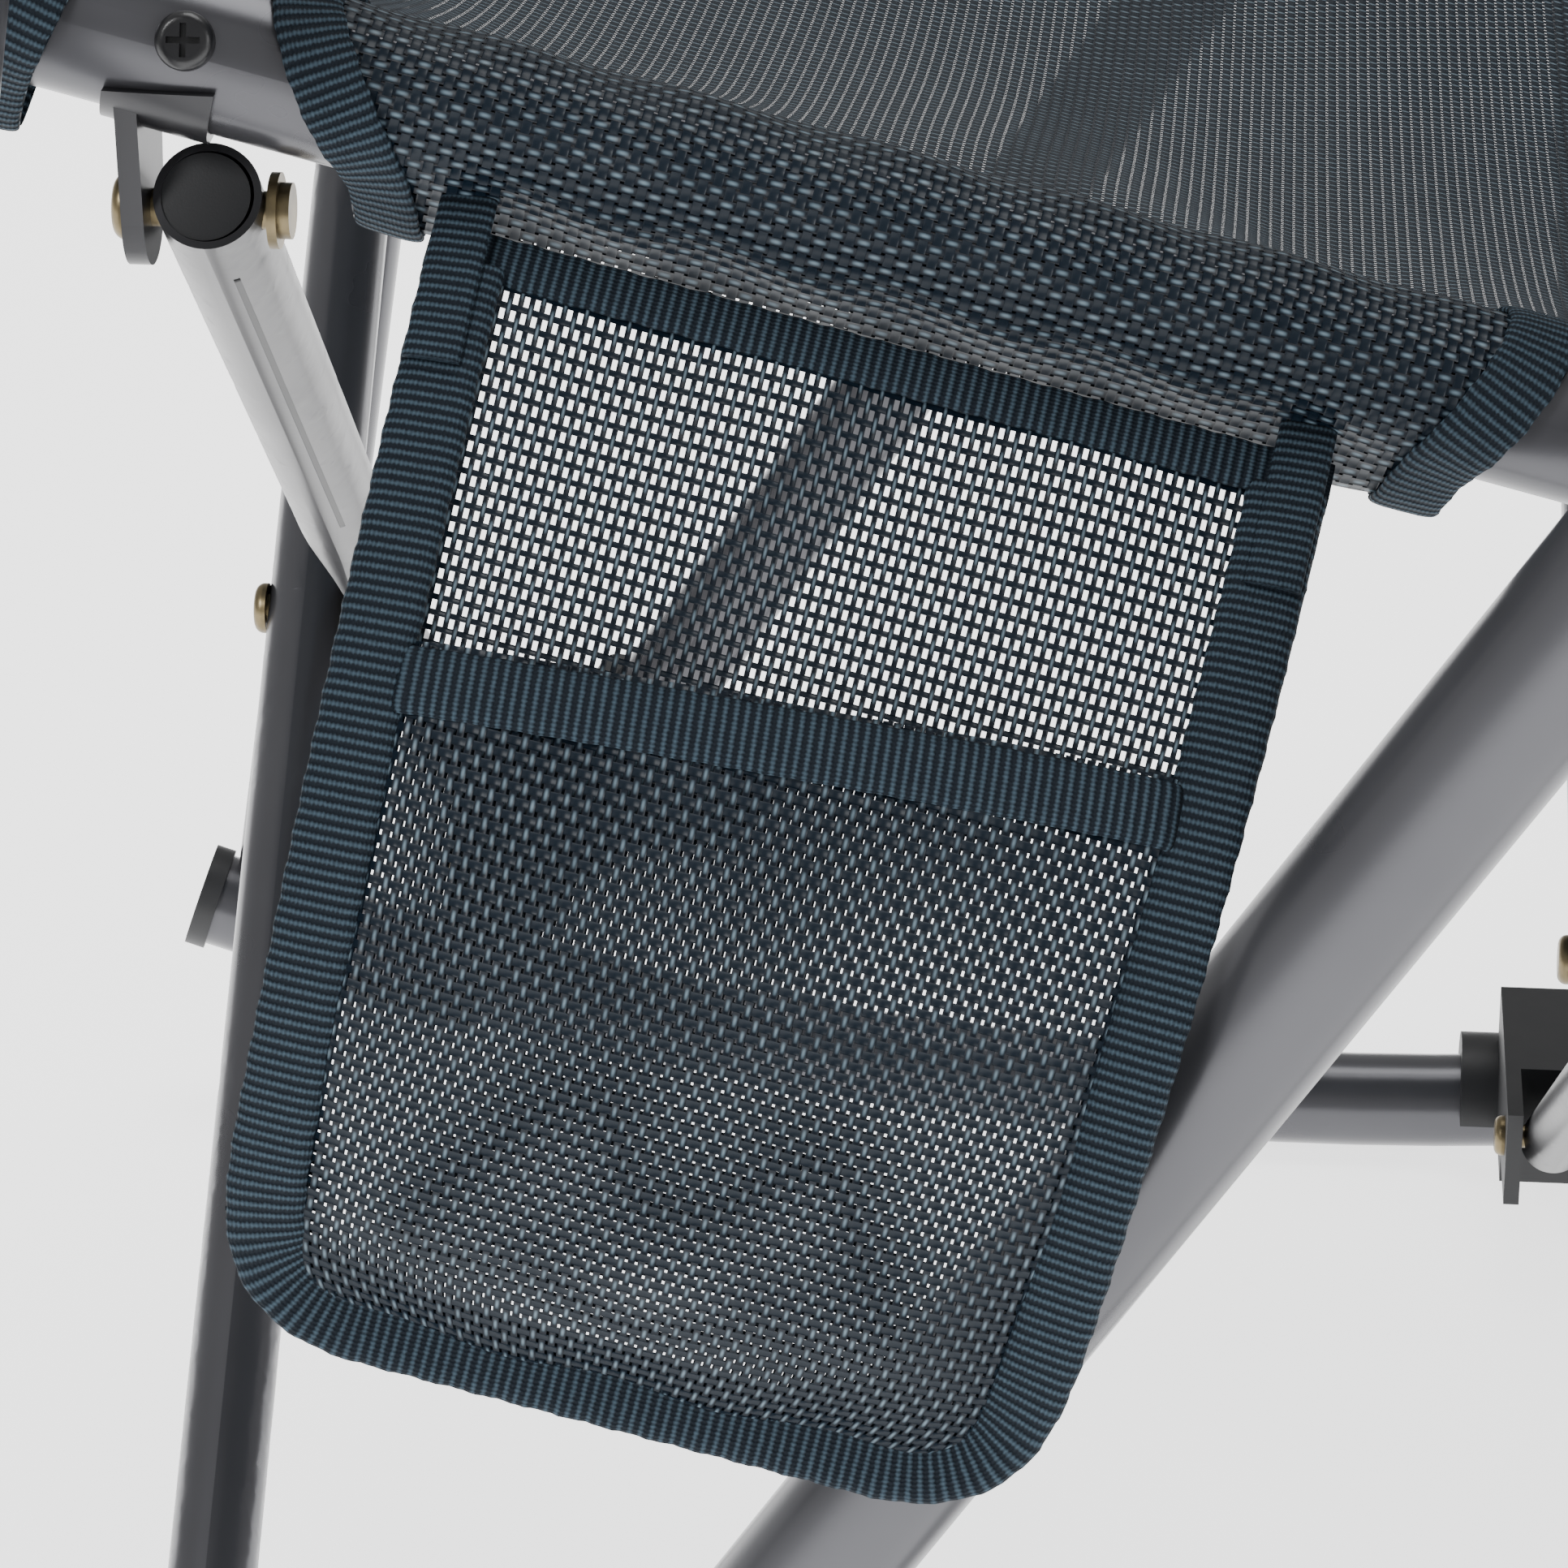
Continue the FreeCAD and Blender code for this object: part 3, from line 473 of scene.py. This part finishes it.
def slingSurface(x, y):
    # Seat: height of the rail less sag(1 - (x/half)^2), with creases that fan out from the notch:
    # crease = depth * cos(k * bearing) * exp(-distance / reach).
    height = railHeight(y) + 0.004 - seat["sag"] * (1 - (x / halfSeat) ** 2)
    for cx, cy, depth, count in ((halfSeat, 0.022, 0.0042, 9), (halfSeat, -0.17, 0.003, 8),
                                 (-halfSeat, -0.02, 0.0042, 9), (-halfSeat, -0.21, 0.003, 8)):
        distance = np.hypot(x - cx, y - cy)
        bearing = np.arctan2(y - cy, np.abs(x - cx) + 1e-6)
        height = height + depth * np.cos(count * bearing) * np.exp(-distance / 0.11) * np.clip(distance / 0.03, 0, 1)
    return np.stack([x, y, height], axis=-1)


seatX, seatY = np.meshgrid(np.linspace(-halfSeat, halfSeat, 241), np.linspace(slingLow[1], slingHigh[1], 181),
                           indexing="xy")
reach = np.sqrt(1 + math.tan(railSlope) ** 2)
seatUv = np.stack([seatX * 1.012, seatY * reach], axis=-1)
seatPanel = gridMesh("seatSling", slingSurface(seatX, seatY), seatUv, seatMesh)
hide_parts("seat_sling")
hems = []
for label, y in (("Front", slingLow[1] + 0.006), ("Rear", slingHigh[1] - 0.006)):
    line = slingSurface(np.linspace(-halfSeat, halfSeat, 260), np.full(260, y))
    hems.append(strip(f"seatHem{label}", line, np.tile(np.array([[0.0, 0.0, 1.0]]), (260, 1)), 0.0125,
                      0.0022, tape, 0.01))
print("seat made")


# back: sleeves on the uprights and the sling between them

backLow, backHigh = (np.array(corner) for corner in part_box("back_sling"))
uprightLow, uprightHigh = (np.array(corner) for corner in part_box("rear_upright_left"))
sideX = (uprightLow[0] + uprightHigh[0]) / 2
back = {"footY": 0.265 + 0.01196, "footZ": 0.0545, "bendY": 0.160 + 0.01196, "bendZ": 0.600,
        "topY": 0.280 + 0.01196, "topZ": 0.960, "bendRadius": 0.180, "bow": 0.025, "sleeve": 0.0140}


def uprightLine(z):
    # Y of the upright's middle at height z: two straight runs joined by a softened corner.
    low = back["bendY"] + (back["bendZ"] - z) * (back["footY"] - back["bendY"]) / (back["bendZ"] - back["footZ"])
    high = back["bendY"] + (z - back["bendZ"]) * (back["topY"] - back["bendY"]) / (back["topZ"] - back["bendZ"])
    soften = 0.0062
    return (low + high) / 2 + np.sqrt(((high - low) / 2) ** 2 + soften ** 2)


backX, backZ = np.meshgrid(np.linspace(-backHigh[0], backHigh[0], 261), np.linspace(backLow[2], backHigh[2], 241),
                           indexing="xy")
backShare = backX / backHigh[0]
bow = back["bow"] * (1 - backShare ** 2) + 0.0012 * np.sin(backZ * 60) * (1 - np.abs(backShare))
backPoints = np.stack([backX, uprightLine(backZ) + bow, backZ], axis=-1)
backRun = np.concatenate([[0], np.cumsum(np.hypot(np.diff(uprightLine(backZ[:, 0])), np.diff(backZ[:, 0])))])
backUv = np.stack([backX, np.broadcast_to(backRun[:, None], backX.shape)], axis=-1)
backPanel = gridMesh("backSling", backPoints, backUv, slingMesh)
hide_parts("back_sling")
for label, row in (("Top", 236), ("Low", 4)):
    hems.append(strip(f"backHem{label}", backPoints[row], np.tile(np.array([[0.0, -1.0, 0.2]]), (261, 1)), 0.0125,
                      0.0022, tape, 0.01))

for side, body, node in ((1, "side_left", "back_sleeve_left"), (-1, "side_right", "back_sleeve_right")):
    for number, (low, high) in enumerate(((0.455, 0.595), (0.725, 0.940))):
        turn = np.linspace(0, math.tau, 61)
        z = np.linspace(low, high, 90)[:, None]
        ripple = 0.0004 * np.sin(z * 240 + 3 * turn[None])
        radius = back["sleeve"] + ripple
        points = np.stack(np.broadcast_arrays(side * sideX + radius * np.cos(turn)[None],
                                              uprightLine(z) + radius * np.sin(turn)[None] * 1.05, z), axis=-1)
        around = turn[None] * back["sleeve"]
        uv = np.stack(np.broadcast_arrays(around, z), axis=-1)
        sideName = "Left" if side > 0 else "Right"
        piece = gridMesh(f"backSleeve{sideName}{number + 1}", points, uv, slingMesh, wrap=True)
        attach(piece, body)
        if number == 0:
            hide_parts(node)
        for place in (low + 0.006, high - 0.006):
            ring = np.stack([side * sideX + back["sleeve"] * np.cos(turn), uprightLine(np.full(61, place))
                             + back["sleeve"] * np.sin(turn) * 1.05, np.full(61, place)], axis=-1)
            middle = np.array([side * sideX, float(uprightLine(np.array(place))), place])
            rimName = "Low" if place < low + 0.01 else "High"
            bind = strip(f"backBinding{sideName}{number + 1}{rimName}", ring, unit(ring - middle), 0.0115, 0.0018, tape, 0.0)
            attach(bind, body)
print("back made")


# seam line pressed into the underside of bar B

def barSeam():
    top = np.array([0.258, -0.18704, 0.4657])
    middle = np.array([0.0, -0.20204, 0.2856])
    share = np.linspace(0.04, 0.62, 120)[:, None]
    line = top + (middle - top) * share
    direction = unit((top - middle) * np.array([1, 0, 1]))
    under = np.array([direction[2], 0, -direction[0]])
    out = unit(under * math.cos(0.35) + np.array([0, 1, 0]) * math.sin(0.35))
    return strip("barSeam", line + out * 0.00846, np.tile(out, (120, 1)), 0.0011, 0.00022, seamShadow, 0.0)


seam = barSeam()
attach(seam, "b_front")


# what moves with what

for piece in pocketPieces:
    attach(piece, "rail_left")
    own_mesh(piece)
for piece in [seatPanel] + hems[:2]:
    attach(piece, "rail_left")
    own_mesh(piece)
for piece in [backPanel] + hems[2:]:
    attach(piece, "side_left")
    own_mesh(piece)
print("pieces ride")


# floor, light and camera

def stagePlane():
    material, tree = newMaterial("paleFloor")
    shader = addNode(tree, "ShaderNodeBsdfPrincipled", {"Base Color": linear("#fafafa"), "Roughness": 0.9,
                                                        "Emission Color": linear("#ffffff"),
                                                        "Emission Strength": 1.9})
    finishMaterial(tree, shader)
    bpy.ops.mesh.primitive_plane_add(size=30, location=(0, 0, -0.0005))
    floor = bpy.context.object
    floor.name = "floor"
    floor.data.materials.append(material)


def softLight(name, place, target, size, power):
    data = bpy.data.lights.new(name, "AREA")
    data.energy, data.size = power, size
    lamp = bpy.data.objects.new(name, data)
    bpy.context.collection.objects.link(lamp)
    lamp.location = place
    direction = np.array(target) - np.array(place)
    from mathutils import Vector
    lamp.rotation_euler = Vector(direction).to_track_quat("-Z", "Y").to_euler()


stagePlane()
world = bpy.data.worlds.new("studio")
bpy.context.scene.world = world
world.use_nodes = True
world.node_tree.nodes["Background"].inputs[0].default_value = (1, 1, 1, 1)
world.node_tree.nodes["Background"].inputs[1].default_value = 0.55
softLight("keyLight", (2.2, -1.6, 2.6), (0.2, 0, 0.4), 0.9, 60)
softLight("fillLight", (1.6, 2.4, 1.4), (0.2, 0, 0.4), 1.2, 16)
softLight("topLight", (-0.4, 0.2, 3.0), (0, 0, 0.4), 1.6, 40)

camera = {"azimuth": 94.7, "elevation": 25.0, "lens": 139.2,
          "place": (1.142, -0.02504, 0.7838)}


def addCamera():
    from mathutils import Matrix, Vector
    azimuth, elevation = math.radians(camera["azimuth"]), math.radians(camera["elevation"])
    toward = Vector((math.sin(azimuth) * math.cos(elevation), -math.cos(azimuth) * math.cos(elevation),
                     math.sin(elevation)))
    right = Vector((math.cos(azimuth), math.sin(azimuth), 0))
    up = toward.cross(right)
    data = bpy.data.cameras.new("camera")
    data.lens, data.sensor_width = camera["lens"], 36
    data.clip_start = 0.01
    view = bpy.data.objects.new("camera", data)
    bpy.context.collection.objects.link(view)
    view.matrix_world = Matrix.Translation(camera["place"]) @ Matrix((right, up, toward)).transposed().to_4x4()
    bpy.context.scene.camera = view


addCamera()
print("stage made")
